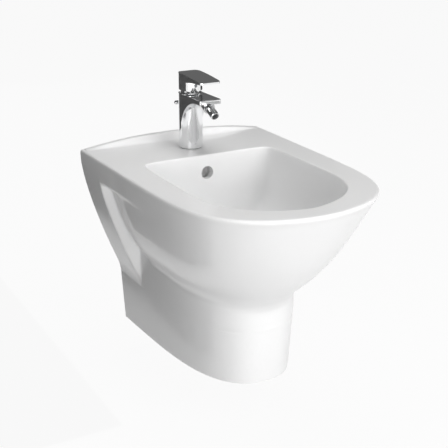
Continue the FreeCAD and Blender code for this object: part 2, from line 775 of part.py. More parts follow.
def cartridge_stem():
    half = STEM_SIDE / 2
    stem = block(-half, half, TAP_Y - half, TAP_Y + half, tap_z(STEM_BOTTOM), tap_z(STEM_TOP))
    return stem.cut(pivot_pin(RUNNING / 2))


def cartridge_nut():
    return ring(CARTRIDGE_RADIUS, GUIDE_RADIUS + SLIDING, 0, TAP_Y, tap_z(CARTRIDGE_TOP), tap_z(TAP_HEIGHT))


def dome_cover():
    inside = Part.makeSphere(DOME_RADIUS - DOME_WALL, LEVER_PIVOT)
    shell = Part.makeSphere(DOME_RADIUS, LEVER_PIVOT).cut(inside)
    reach = 2 * DOME_RADIUS
    below = block(-reach, reach, TAP_Y - reach, TAP_Y + reach, tap_z(0), tap_z(TAP_HEIGHT))
    return shell.cut(below).cut(post(DOME_MOUTH, 0, TAP_Y, tap_z(TAP_HEIGHT), tap_z(LEVER_TOP)))


def lever_plan():
    """Footprint of the lever: a round hub that runs out into a flat paddle."""
    low = tap_z(TAP_HEIGHT)
    up = V(0, 0, 2 * LEVER_TOP - 2 * TAP_HEIGHT)
    hub = post(TAP_RADIUS, 0, TAP_Y, low, low + up.z)
    root = TAP_RADIUS
    tip = LEVER_TIP_WIDTH / 2
    front = TAP_Y - LEVER_REACH
    paddle = prism([V(-root, TAP_Y, low), V(-tip, front, low), V(tip, front, low), V(root, TAP_Y, low)], up)
    tall = [e for e in paddle.Edges if e.BoundBox.ZLength > up.z / 2]
    corners = [e for e in tall if e.CenterOfMass.y < front + RUNNING]
    return hub.fuse(paddle.makeFillet(LEVER_CORNER, corners)).removeSplitter()


def lever_profile():
    """Side outline of the lever, swept across its width."""
    def at(forward, height):
        return V(-2 * TAP_RADIUS, TAP_Y - forward, tap_z(height))
    hub = TAP_RADIUS
    back = -hub - CUT_PAST
    neck = hub + LEVER_NECK_RUN
    tip = LEVER_REACH + CUT_PAST
    middle = (neck + tip) / 2
    under_tip = LEVER_TIP_TOP - LEVER_TIP_THICKNESS
    skirt_back = at(back, LEVER_SKIRT_BACK)
    skirt_front = at(neck, LEVER_SKIRT_FRONT)
    under_bend = at(middle, (LEVER_NECK + under_tip) / 2 + LEVER_HOLLOW)
    crown = at(0, LEVER_TOP)
    crown_bend = at(LEVER_REACH / 2, (LEVER_TOP + LEVER_TIP_TOP) / 2 + LEVER_CROWN)
    nape = at(-hub / 2, LEVER_TOP)
    nape_bend = at((back - hub / 2) / 2, LEVER_TOP - LEVER_NAPE * LEVER_NAPE_FALL)
    nape_end = at(back, LEVER_TOP - LEVER_NAPE)
    edges = [Part.makeLine(skirt_back, skirt_front),
             Part.makeLine(skirt_front, at(neck, LEVER_NECK)),
             Part.Arc(at(neck, LEVER_NECK), under_bend, at(tip, under_tip)).toShape(),
             Part.makeLine(at(tip, under_tip), at(tip, LEVER_TIP_TOP)),
             Part.Arc(at(tip, LEVER_TIP_TOP), crown_bend, crown).toShape(),
             Part.makeLine(crown, nape),
             Part.Arc(nape, nape_bend, nape_end).toShape(),
             Part.makeLine(nape_end, skirt_back)]
    return Part.Face(Part.Wire(edges)).extrude(V(4 * TAP_RADIUS, 0, 0))


def beside_hub():
    """Room round the front of the lever's hub, under the paddle."""
    reach = 2 * TAP_RADIUS
    low = tap_z(TAP_HEIGHT)
    room = block(-reach, reach, TAP_Y - reach, TAP_Y, low, tap_z(LEVER_NECK))
    return room.cut(post(TAP_RADIUS, 0, TAP_Y, low, tap_z(LEVER_NECK)))


def lever_rim(lever):
    """Edges all round the lever's top."""
    low = tap_z(LEVER_TIP_TOP - LEVER_TIP_THICKNESS / 2)
    rim = []
    for edge in lever.Edges:
        crease = edge.BoundBox.YLength < RUNNING and edge.CenterOfMass.y > TAP_Y - TAP_RADIUS
        if edge.BoundBox.ZMin > low and not crease:
            rim.append(edge)
    return rim


def grub_hole(radius, inner, outer):
    """Bore towards the front of the lever's hub."""
    height = tap_z(GRUB_HEIGHT)
    return rod(radius, V(0, TAP_Y - inner, height), V(0, TAP_Y - outer, height))


def lever_handle():
    lever = lever_plan().common(lever_profile())
    lever = lever.makeFillet(LEVER_EDGE, lever_rim(lever)).cut(beside_hub())
    lever = lever.cut(Part.makeSphere(DOME_RADIUS + SPHERE_GAP, LEVER_PIVOT))
    half = STEM_SIDE / 2 + RUNNING / 2
    socket = block(-half, half, TAP_Y - half, TAP_Y + half, tap_z(TAP_HEIGHT), tap_z(STEM_TOP + SLIDING))
    lever = lever.cut(socket).cut(grub_hole(GRUB_RADIUS, 0, TAP_RADIUS))
    return lever.cut(grub_hole(INDEX_RADIUS, TAP_RADIUS - INDEX_DEPTH, TAP_RADIUS + CUT_PAST))


def lever_grub_screw():
    return grub_hole(GRUB_RADIUS - RUNNING / 2, STEM_SIDE / 2, TAP_RADIUS - INDEX_DEPTH)


def lever_index_plug():
    plug = grub_hole(INDEX_RADIUS - RUNNING / 2, TAP_RADIUS - INDEX_DEPTH, TAP_RADIUS + CUT_PAST)
    return plug.common(post(TAP_RADIUS + RUNNING, 0, TAP_Y, tap_z(TAP_HEIGHT), tap_z(LEVER_TOP)))


# Nozzle

def nozzle_seat_ring():
    body = rod(SOCKET_RADIUS - RUNNING, on_nozzle(-SOCKET_BEHIND), on_nozzle(-BALL_RADIUS / 2))
    body = body.cut(Part.makeSphere(BALL_RADIUS + RUNNING, BALL))
    return body.cut(rod(NECK_RADIUS, on_nozzle(-SOCKET_BEHIND), BALL))


def nozzle_retaining_ring():
    """Threaded ring that holds the ball and opens like a funnel."""
    inner = on_nozzle(BALL_RADIUS / 4)
    face = on_nozzle(face_distance())
    body = rod(SOCKET_RADIUS - RUNNING, inner, face)
    body = body.cut(Part.makeSphere(BALL_RADIUS + RUNNING, BALL))
    length = face_distance() - RING_LIP
    funnel = Part.makeCone(RING_LIP_RADIUS, RING_MOUTH, length, on_nozzle(RING_LIP), NOZZLE_AXIS)
    return body.cut(funnel)


def nozzle():
    body = Part.makeSphere(BALL_RADIUS, BALL)
    body = body.fuse(rod(NECK_RADIUS, BALL, on_nozzle(BARREL_START + BARREL_EDGE)))
    barrel = rod(BARREL_RADIUS, on_nozzle(BARREL_START), on_nozzle(BARREL_END))
    barrel = barrel.makeChamfer(BARREL_EDGE, [e for e in barrel.Edges if e.Closed])
    body = body.fuse(barrel).removeSplitter()
    body = body.cut(rod(WATER_BORE, on_nozzle(-BALL_RADIUS), on_nozzle(BARREL_END)))
    return body.cut(rod(BARREL_BORE, on_nozzle(BARREL_END - AERATOR_LENGTH), on_nozzle(BARREL_END)))


def aerator():
    """Strainer disc with a ring of small outlets."""
    start = on_nozzle(BARREL_END - AERATOR_LENGTH)
    end = on_nozzle(BARREL_END - AERATOR_RECESS)
    body = rod(BARREL_BORE - RUNNING / 2, start, end)
    body = body.cut(rod(WATER_BORE, start, on_nozzle(BARREL_END - AERATOR_LENGTH / 2)))
    for i in range(AERATOR_HOLES):
        turn = FreeCAD.Rotation(NOZZLE_AXIS, 360 / AERATOR_HOLES * i)
        offset = turn.multVec(V(AERATOR_CIRCLE, 0, 0))
        body = body.cut(rod(AERATOR_HOLE, start + offset, end + offset))
    return body


# Lift pull, rod and clamp

def eye_centre():
    """Where the pivot rod passes the clamp, with the pull down."""
    return V(0, PIVOT.y + EYE_ARM, PIVOT.z - LIFT_TRAVEL / 2)


def lift_rod():
    bottom = eye_centre().z - EYE_WALL - PIVOT_ROD - EYE_CLEARANCE - ROD_SPARE
    return post(ROD_RADIUS, 0, ROD_Y, bottom, tap_z(PULL_LOW + HUB_HEIGHT / 2))


def lift_pull():
    """Hub on the rod, an arm out of the slot, an upright and a cross bar for two fingers."""
    low = tap_z(PULL_LOW)
    hub = post(HUB_RADIUS, 0, ROD_Y, low - HUB_HEIGHT / 2, low + HUB_HEIGHT / 2)
    elbow = V(0, PULL_Y, low)
    arm = rod(PULL_ARM, V(0, ROD_Y, low), elbow)
    upright = rod(PULL_ARM, elbow, V(0, PULL_Y, tap_z(PULL_HEIGHT)))
    half = V(PULL_BAR_LENGTH / 2 - PULL_BAR, 0, 0)
    centre = V(0, PULL_Y, tap_z(PULL_HEIGHT))
    bar = rod(PULL_BAR, centre - half, centre + half)
    pull = hub.fuse([arm, Part.makeSphere(PULL_ARM, elbow), upright, bar])
    pull = pull.fuse([Part.makeSphere(PULL_BAR, centre - half), Part.makeSphere(PULL_BAR, centre + half)])
    return pull.removeSplitter().cut(post(ROD_RADIUS, 0, ROD_Y, low - HUB_HEIGHT, low + HUB_HEIGHT))


def rod_clamp():
    eye = eye_centre()
    half = PIVOT_ROD + EYE_CLEARANCE + EYE_WALL
    body = block(-half, half, eye.y - EYE_LENGTH / 2, ROD_Y + half, eye.z - half, eye.z + half)
    body = body.cut(post(ROD_RADIUS + RUNNING / 2, 0, ROD_Y, eye.z - half, eye.z + half))
    reach = V(0, EYE_LENGTH, 0)
    body = body.cut(rod(PIVOT_ROD + EYE_CLEARANCE, eye - reach, V(0, ROD_Y - ROD_RADIUS - EYE_WALL, eye.z)))
    return body.cut(clamp_bore(CLAMP_SCREW))


def clamp_bore(radius):
    eye = eye_centre()
    half = PIVOT_ROD + EYE_CLEARANCE + EYE_WALL
    return rod(radius, V(0, ROD_Y, eye.z), V(0, ROD_Y + half, eye.z))


def clamp_screw():
    eye = eye_centre()
    half = PIVOT_ROD + EYE_CLEARANCE + EYE_WALL
    head = V(0, ROD_Y + half, eye.z)
    shank = rod(CLAMP_SCREW - RUNNING / 2, V(0, ROD_Y + ROD_RADIUS + RUNNING, eye.z), head)
    knob = rod(2 * CLAMP_SCREW, head, head + V(0, 2 * CLAMP_SCREW, 0))
    slot = block(-3 * CLAMP_SCREW, 3 * CLAMP_SCREW, head.y + CLAMP_SCREW, head.y + 3 * CLAMP_SCREW,
                 eye.z - CLAMP_SCREW / 4, eye.z + CLAMP_SCREW / 4)
    return shank.fuse(knob).cut(slot)


# Waste


def waste_flange():
    """Dished flange with the threaded tube that goes through the drain hole."""
    top = level(BOWL_DEPTH)
    under = top - FLANGE_THICKNESS
    bottom = under - TUBE_LENGTH
    bore = TUBE_RADIUS - TUBE_WALL
    profile = [(bore, bottom), (TUBE_RADIUS, bottom), (TUBE_RADIUS, under), (FLANGE_RADIUS, under),
               (FLANGE_RADIUS, top - FLANGE_DISH), (FLANGE_RADIUS - FLANGE_BEVEL, top),
               (TUBE_RADIUS, top - FLANGE_DISH), (bore, top - FLANGE_DISH - TUBE_WALL)]
    body = revolve([V(r, DRAIN_Y, z) for r, z in profile], V(0, DRAIN_Y, 0), V(0, 0, 1))
    window = level(PAD_BOTTOM - CHANNEL_WALL)
    for i in range(4):
        turn = FreeCAD.Rotation(V(0, 0, 1), 45 + 90 * i)
        end = turn.multVec(V(0, TUBE_RADIUS + CUT_PAST, 0)) + V(0, DRAIN_Y, window)
        body = body.cut(rod(TUBE_WALL, V(0, DRAIN_Y, window), end))
    return body


def flange_seal():
    inner = DRAIN_RADIUS + FLANGE_GAP
    return ring(FLANGE_RADIUS - FLANGE_GAP, inner, 0, DRAIN_Y, level(SEAT), level(SEAT - FLANGE_SEAL))


def under_seal():
    top = level(PAD_BOTTOM)
    return ring(DRAIN_PAD - TUBE_WALL, TUBE_RADIUS + RUNNING, 0, DRAIN_Y, top - UNDER_SEAL, top)


def waste_locknut():
    face = V(0, DRAIN_Y, level(PAD_BOTTOM) - UNDER_SEAL)
    along = V(0, 0, -LOCKNUT_HEIGHT)
    return hexagon(LOCKNUT_FLATS, face, along).cut(rod(TUBE_RADIUS + RUNNING, face, face + along))


def waste_body():
    """Tee piece screwed on the flange's tube, with the side port for the pivot rod."""
    top = below_bowl(BODY_TOP)
    bottom = below_bowl(BODY_BOTTOM)
    tube_end = below_bowl(FLANGE_THICKNESS + TUBE_LENGTH)
    port_end = V(0, DRAIN_Y + PORT_LENGTH, PIVOT.z)
    body = post(BODY_RADIUS, 0, DRAIN_Y, bottom, top)
    body = body.fuse(rod(PORT_RADIUS, V(0, DRAIN_Y, PIVOT.z), port_end)).removeSplitter()
    body = body.cut(post(TUBE_RADIUS + RUNNING, 0, DRAIN_Y, tube_end - RUNNING, top))
    body = body.cut(post(BODY_BORE, 0, DRAIN_Y, bottom, tube_end))
    body = body.cut(post(TAIL_NECK + RUNNING, 0, DRAIN_Y, bottom, bottom + TAIL_SOCKET))
    shoulder = PIVOT - V(0, PIVOT_BALL + PIVOT_ROD, 0)
    body = body.cut(rod(PIVOT_BALL + RUNNING, shoulder, port_end))
    return body.cut(rod(PIVOT_ROD + 2 * EYE_CLEARANCE, V(0, DRAIN_Y, PIVOT.z), port_end))


def tailpiece():
    """Outlet pipe, with a neck that goes through the nut into the body."""
    top = below_bowl(BODY_BOTTOM - TAIL_SOCKET) - RUNNING
    nut_end = below_bowl(BODY_BOTTOM) - TAIL_NUT_HEIGHT
    bottom = below_bowl(TAIL_BOTTOM)
    neck = post(TAIL_NECK, 0, DRAIN_Y, nut_end, top)
    pipe = post(TAIL_RADIUS, 0, DRAIN_Y, bottom, nut_end).fuse(neck)
    return pipe.cut(post(TAIL_RADIUS - TAIL_WALL, 0, DRAIN_Y, bottom, top))


def tail_nut():
    top = below_bowl(BODY_BOTTOM)
    body = ring(TAIL_NUT_RADIUS, TAIL_NECK + RUNNING, 0, DRAIN_Y, top - TAIL_NUT_HEIGHT, top)
    for i in range(GRIPS):
        turn = FreeCAD.Rotation(V(0, 0, 1), 360 / GRIPS * i)
        place = turn.multVec(V(TAIL_NUT_RADIUS + CUT_PAST, 0, 0)) + V(0, DRAIN_Y, 0)
        body = body.cut(post(GRIP_RADIUS, place.x, place.y, top - TAIL_NUT_HEIGHT, top - TAIL_WALL))
    return body


# Plug and pivot rod

def tip_centre():
    """Where the pivot rod lifts the plug, with the plug open."""
    return V(0, DRAIN_Y, PIVOT.z + PIVOT_ARM * math.tan(math.radians(ROD_TILT)))


def plug_seat():
    """Underside of the plug's cap, with the plug open."""
    return level(BOWL_DEPTH) + PLUG_TRAVEL + SPHERE_GAP


def plug():
    under = plug_seat()
    tip = tip_centre()
    eye = PIVOT_ROD + EYE_CLEARANCE
    profile = [(0, under), (PLUG_RADIUS, under), (PLUG_RADIUS, under + PLUG_THICKNESS / 2),
               (PLUG_RADIUS - PLUG_BEVEL, under + PLUG_SHOULDER), (0, under + PLUG_THICKNESS)]
    cap = revolve([V(r, DRAIN_Y, z) for r, z in profile], V(0, DRAIN_Y, 0), V(0, 0, 1))
    body = cap.fuse(post(PLUG_STEM, 0, DRAIN_Y, tip.z, under))
    reach = TUBE_RADIUS - TUBE_WALL - 2 * SLIDING
    low = under - PLUG_SEAL - PLUG_FIN_LENGTH
    fin = block(-reach, reach, DRAIN_Y - PLUG_FIN / 2, DRAIN_Y + PLUG_FIN / 2, low, under)
    cross = fin.copy()
    cross.rotate(V(0, DRAIN_Y, 0), V(0, 0, 1), 90)
    thick = V(0, EYE_LENGTH / 2, 0)
    body = body.fuse([fin, cross, rod(eye + EYE_WALL, tip - thick, tip + thick)]).removeSplitter()
    return body.cut(rod(eye, tip - thick * 2, tip + thick * 2)).cut(plug_groove(0.0))


def plug_groove(gap):
    """Ring cut under the cap for the seal."""
    under = plug_seat()
    outer = PLUG_RADIUS - SEAL_INSET
    return ring(outer, outer - 2 * PLUG_SEAL + gap, 0, DRAIN_Y, under - PLUG_SEAL, under)


def plug_seal():
    return plug_groove(RUNNING)


def pivot_rod():
    tilt = math.radians(ROD_TILT)
    along = V(0, math.cos(tilt), -math.sin(tilt))
    back = PIVOT + along * ((EYE_ARM + EYE_LENGTH) / math.cos(tilt))
    front = PIVOT - along * ((PIVOT_ARM + EYE_LENGTH) / math.cos(tilt))
    return rod(PIVOT_ROD, front, back).fuse(Part.makeSphere(PIVOT_BALL, PIVOT)).removeSplitter()


def pivot_seat():
    """Plastic cup between the ball and the port's shoulder."""
    inner = PIVOT - V(0, PIVOT_BALL + PIVOT_ROD, 0)
    body = rod(PIVOT_BALL + RUNNING / 2, inner, PIVOT - V(0, PIVOT_BALL / 2, 0))
    body = body.cut(Part.makeSphere(PIVOT_BALL + RUNNING, PIVOT))
    return body.cut(rod(PIVOT_ROD + 2 * EYE_CLEARANCE, inner, PIVOT))


def pivot_gland():
    """Cap nut on the port, with a round mouth for the rod."""
    end = V(0, DRAIN_Y + PORT_LENGTH, PIVOT.z)
    inner = V(0, DRAIN_Y + BODY_RADIUS + GLAND_GAP, PIVOT.z)
    lid = V(0, GLAND_WALL, 0)
    body = rod(PORT_RADIUS + GLAND_WALL, inner, end + lid)
    body = body.cut(rod(PORT_RADIUS + RUNNING, inner, end))
    return body.cut(rod(GLAND_MOUTH, end, end + lid))


def build():
    os.makedirs("parts", exist_ok=True)
    save("ceramic_body", ceramic_body())
    save("fixing_sleeves", *stud_stack(fixing_sleeve))
    save("fixing_washers", *stud_stack(fixing_washer))
    save("fixing_nuts", *stud_stack(fixing_nut))
    save("tap_base_gasket", tap_base_gasket())
    save("tap_body", tap_body())
    save("mounting_stud", mounting_stud())
    save("clamp_gasket", clamp_plate(level(DECK)))
    save("clamp_washer", clamp_plate(level(DECK) - CLAMP_THICKNESS))
    save("mounting_nut", mounting_nut())
    save("cartridge_body", cartridge_body())
    save("cartridge_guide", cartridge_guide())
    save("cartridge_pivot_pin", pivot_pin(0.0))
    save("cartridge_stem", cartridge_stem())
    save("cartridge_nut", cartridge_nut())
    save("dome_cover", dome_cover())
    save("lever_handle", lever_handle())
    save("lever_grub_screw", lever_grub_screw())
    save("lever_index_plug", lever_index_plug())
    save("nozzle_seat_ring", nozzle_seat_ring())
    save("nozzle_retaining_ring", nozzle_retaining_ring())
    save("nozzle", nozzle())
    save("aerator", aerator())
    save("lift_pull", lift_pull())
    save("lift_rod", lift_rod())
    save("rod_clamp", rod_clamp())
    save("clamp_screw", clamp_screw())
    save("waste_flange", waste_flange())
    save("flange_seal", flange_seal())
    save("under_seal", under_seal())
    save("waste_locknut", waste_locknut())
    save("waste_body", waste_body())
    save("tail_nut", tail_nut())
    save("tailpiece", tailpiece())
    save("plug", plug())
    save("plug_seal", plug_seal())
    save("pivot_rod", pivot_rod())
    save("pivot_seat", pivot_seat())
    save("pivot_gland", pivot_gland())


build()
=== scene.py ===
"""Wall-hung bidet: glaze, plating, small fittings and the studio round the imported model."""

import json
import math

import bpy
from bpy.props import FloatProperty, FloatVectorProperty, PointerProperty
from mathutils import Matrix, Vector
from mathutils.bvhtree import BVHTree

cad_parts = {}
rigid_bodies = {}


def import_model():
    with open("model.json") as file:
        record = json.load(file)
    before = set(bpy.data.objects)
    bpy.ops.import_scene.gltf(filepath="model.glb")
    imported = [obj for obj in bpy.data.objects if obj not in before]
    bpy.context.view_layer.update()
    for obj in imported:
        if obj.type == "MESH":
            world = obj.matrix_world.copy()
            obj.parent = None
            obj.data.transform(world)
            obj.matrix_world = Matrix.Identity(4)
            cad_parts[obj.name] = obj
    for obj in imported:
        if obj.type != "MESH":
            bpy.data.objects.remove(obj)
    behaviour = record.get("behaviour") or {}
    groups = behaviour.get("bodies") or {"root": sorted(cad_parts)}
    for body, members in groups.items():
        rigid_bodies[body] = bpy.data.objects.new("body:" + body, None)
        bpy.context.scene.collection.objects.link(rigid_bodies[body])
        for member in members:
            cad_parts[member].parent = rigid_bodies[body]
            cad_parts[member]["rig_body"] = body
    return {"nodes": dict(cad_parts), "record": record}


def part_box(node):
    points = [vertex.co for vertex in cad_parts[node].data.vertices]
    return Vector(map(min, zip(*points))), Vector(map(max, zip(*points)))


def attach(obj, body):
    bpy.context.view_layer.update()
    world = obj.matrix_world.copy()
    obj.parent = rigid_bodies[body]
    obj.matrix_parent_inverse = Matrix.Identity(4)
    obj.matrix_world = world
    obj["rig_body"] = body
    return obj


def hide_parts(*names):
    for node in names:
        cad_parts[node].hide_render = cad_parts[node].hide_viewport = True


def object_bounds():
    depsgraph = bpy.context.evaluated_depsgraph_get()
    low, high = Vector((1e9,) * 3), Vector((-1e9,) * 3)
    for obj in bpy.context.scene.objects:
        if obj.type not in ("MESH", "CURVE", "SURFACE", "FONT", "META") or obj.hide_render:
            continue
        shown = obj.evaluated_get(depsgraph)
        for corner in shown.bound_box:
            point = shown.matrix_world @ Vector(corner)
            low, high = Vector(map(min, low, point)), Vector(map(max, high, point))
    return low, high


bl_info = {
    "name": "Wall-hung bidet",
    "version": (1, 0, 0),
    "blender": (4, 5, 0),
    "location": "View3D > Sidebar > Bidet",
    "description": "Glaze, plating, small fittings and studio for a packed wall-hung bidet",
    "category": "Object",
}

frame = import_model()
CAD_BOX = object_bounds()
RECORD_COLOURS = {row["slot"]: tuple(row["base_color"]) for row in frame["record"]["materials"]}
SLOT_NODES = {}
for row in frame["record"]["subparts"]:
    SLOT_NODES.setdefault(row["material_slot"], []).append(row["node"])
WALL_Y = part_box("ceramic_body")[1].y
FOOT_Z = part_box("ceramic_body")[0].z
UP = Vector((0, 0, 1))

# Points nearer than this are joined, and faces this close to flat, in degrees, become one
WELD = 0.0000001
FLAT_ANGLE = 0.6

# Edges sharper than these, in degrees, stay sharp on the body and the details, and on the fittings
SMOOTH_ANGLE = 40
EASED_ANGLE = 32

# The overflow's channel is glazed: it lies in front of this plane and above this level
CHANNEL_Y = -0.115
CHANNEL_Z = 0.070

# Sprayed glaze comes in from round this upright axis, and sight lines start this far off the surface
SPRAY_AXIS_Y = -0.10
SIGHT_LIFT = 0.0005

# Glaze thins where a surface bends more than this, as one over a radius, and is thinnest a range above it
THIN_FROM = 60.0
THIN_RANGE = 200.0
SHORTEST_SPAN = 0.0002

# Radius of a thread's ridge and its depth in the stem, as shares of the pitch, and steps in a turn
RIDGE_RADIUS = 0.36
RIDGE_SUNK = 0.08
TURN_STEPS = 32

# Wire round the screen's edge, against the wires inside it
RIM_WIRE = 1.4

# Height of the cards above the floor
CARD_LIFT = 0.002

# Lamps: place, size, beam in degrees, and whether reflections show them
LAMPS = {
    "key": ((0.9, -2.3, 1.6), (2.2, 2.2), 180, False),
    "front": ((-0.1, -2.8, 0.15), (2.2, 1.0), 180, True),
    "low": ((-1.5, -2.2, 0.25), (1.2, 0.9), 180, True),
    "top": ((0.0, -0.2, 2.0), (1.2, 1.2), 180, False),
    "back": ((0.7, 2.6, 0.5), (1.4, 1.4), 60, False),
}


def paint(name, description, default):
    return FloatVectorProperty(name=name, description=description, subtype="COLOR", size=3, min=0, max=1,
                               default=default)


def colour(slot, name, description):
    """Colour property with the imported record's colour as its default."""
    return paint(name, description, RECORD_COLOURS[slot])


def length(name, description, default):
    return FloatProperty(name=name, description=description, default=default, unit="LENGTH", precision=5)


def share(name, description, default):
    return FloatProperty(name=name, description=description, default=default, min=0, max=1, subtype="FACTOR")


def power(name, description, default):
    return FloatProperty(name=name, description=description, default=default, unit="POWER")


class BidetGlazeSettings(bpy.types.PropertyGroup):
    tint: paint("Glaze", "Colour of the fired white glaze", (0.895, 0.895, 0.895))
    bisque: paint("Bisque", "Colour of the fired clay where no glaze was sprayed", (0.80, 0.77, 0.72))
    sheen: share("Glaze roughness", "Roughness under the glassy top layer", 0.30)
    ripple: length("Ripple", "Height of the long waves in the fired glaze", 0.00005)
    bare_band: length("Bare band", "Width of the unglazed band at the wall and the foot", 0.0004)


class BidetMetalSettings(bpy.types.PropertyGroup):
    chrome: paint("Chrome", "Colour of the plating", (0.90, 0.905, 0.91))
    brass: colour("brass", "Brass", "Colour of the turned brass")
    steel: colour("steel", "Steel", "Colour of the zinc-plated steel")
    polish: share("Chrome roughness", "Roughness of the polished plating", 0.09)
    edge: length("Edge", "Width of the rounding on plated edges", 0.0004)


class BidetMouldedSettings(bpy.types.PropertyGroup):
    rubber: colour("rubber", "Rubber", "Colour of gaskets and seals")
    white: colour("white_plastic", "White plastic", "Colour of sleeves and cartridge parts")
    grey: colour("grey_plastic", "Grey plastic", "Colour of the index plug")
    strainer: paint("Strainer", "Colour of the strainer in the nozzle", (0.03, 0.031, 0.033))


class BidetDetailSettings(bpy.types.PropertyGroup):
    stud_pitch: length("Stud pitch", "Pitch of the thread on the tap's stud", 0.001)
    waste_pitch: length("Waste pitch", "Pitch of the thread on the waste's tube", 0.0023)
    mesh: length("Mesh", "Spacing of the wires in the nozzle's screen", 0.0011)
    wire: length("Wire", "Thickness of the wires in the nozzle's screen", 0.00028)


class BidetStudioSettings(bpy.types.PropertyGroup):
    floor_drop: length("Floor drop", "Height of the foot above the floor", 0.066)
    floor_tint: paint("Floor", "Colour of the floor", (0.60, 0.60, 0.60))
    shadow: share("Shadow", "How much of the floor's own shade the camera sees", 0.06)
    key: power("Key", "Power of the lamp at the right", 42)
    front: power("Front", "Power of the lamp in front", 19)
    low: power("Low", "Power of the low lamp at the left", 16)
    top: power("Top", "Power of the lamp overhead", 17)
    back: power("Back", "Power of the lamp behind", 7)
    card: paint("Card", "Colour of the dark cards at the sides", (0.12, 0.12, 0.12))
    room: share("Room", "Brightness of the room round the studio", 0.13)
    lens: FloatProperty(name="Lens", description="Focal length of the camera", default=74.66, unit="CAMERA")
    camera: FloatVectorProperty(name="Camera", description="Place of the camera", size=3,
                                subtype="TRANSLATION", default=(-0.71025, -1.48187, 0.55508))
    gaze: FloatVectorProperty(name="Gaze", description="Direction the camera looks in", size=3,
                              subtype="DIRECTION", default=(0.45385, 0.82374, -0.33981))


class Wire:
    """Output of a shader node that takes part in sums."""

    def __init__(self, finish, socket):
        self.finish = finish
        self.socket = socket

    def reckon(self, operation, first, second):
        return self.finish.node("ShaderNodeMath", {"operation": operation}, {0: first, 1: second})

    def __add__(self, other):
        return self.reckon("ADD", self, other)

    def __sub__(self, other):
        return self.reckon("SUBTRACT", self, other)

    def __mul__(self, other):
        return self.reckon("MULTIPLY", self, other)

    def __rsub__(self, other):
        return self.reckon("SUBTRACT", other, self)

    def __or__(self, other):
        return self.reckon("MAXIMUM", self, other)

    __radd__ = __add__
    __rmul__ = __mul__
    __ror__ = __or__

    def rise(self, low, high):
        """0 below one value and 1 above the other, with a soft step between."""
        sockets = {"Value": self, "From Min": low, "From Max": high}
        return self.finish.node("ShaderNodeMapRange", {"interpolation_type": "SMOOTHSTEP"}, sockets)


class Finish:
    """Material whose nodes come from expressions."""

    def __init__(self, name):
        self.material = bpy.data.materials.new(name)
        self.material.use_nodes = True
        self.tree = self.material.node_tree
        self.tree.nodes.clear()

    def node(self, kind, settings, sockets, output=0):
        """Adds a node with its settings, then the values or links of its sockets."""
        made = self.tree.nodes.new(kind)
        for key, value in settings.items():
            setattr(made, key, value)
        for key, value in sockets.items():
            if isinstance(value, Wire):
                self.tree.links.new(value.socket, made.inputs[key])
            else:
                made.inputs[key].default_value = value
        return Wire(self, made.outputs[output]) if made.outputs else None

    def place(self):
        """Object coordinates."""
        return self.node("ShaderNodeTexCoord", {}, {}, "Object")

    def axis(self, name):
        """One of the object's coordinates, in metres."""
        return self.node("ShaderNodeSeparateXYZ", {}, {0: self.place()}, name)

    def stretched(self, x, y, z):
        """Object coordinates with a scale for each axis."""
        return self.node("ShaderNodeMapping", {}, {"Vector": self.place(), "Scale": (x, y, z)})

    def noise(self, grain, detail=2.0, vector=None):
        """Smooth noise whose lumps are a grain wide, in metres."""
        sockets = {"Vector": vector or self.place(), "Scale": 1 / grain, "Detail": detail}
        return self.node("ShaderNodeTexNoise", {}, sockets, "Fac")

    def cells(self, size, feature):
        """Distance to the middle of the nearest cell, for cells of a size in metres."""
        sockets = {"Vector": self.place(), "Scale": 1 / size}
        return self.node("ShaderNodeTexVoronoi", {"feature": feature}, sockets, "Distance")

    def blend(self, factor, first, second):
        """Mix of two colours."""
        return self.node("ShaderNodeMix", {"data_type": "RGBA"}, {0: factor, 6: first, 7: second}, 2)

    def bump(self, height, depth):
        """Normal from a height, whose full step is a depth in metres."""
        return self.node("ShaderNodeBump", {}, {"Height": height, "Distance": depth, "Strength": 1.0})

    def surface(self, sockets):
        """Principled surface on the material's output."""
        shader = self.node("ShaderNodeBsdfPrincipled", {}, sockets)
        self.node("ShaderNodeOutputMaterial", {}, {"Surface": shader})
        return self.material


def opaque(rgb, strength=1.0):
    """Colour with its alpha, made lighter or darker."""
    return (rgb[0] * strength, rgb[1] * strength, rgb[2] * strength, 1.0)


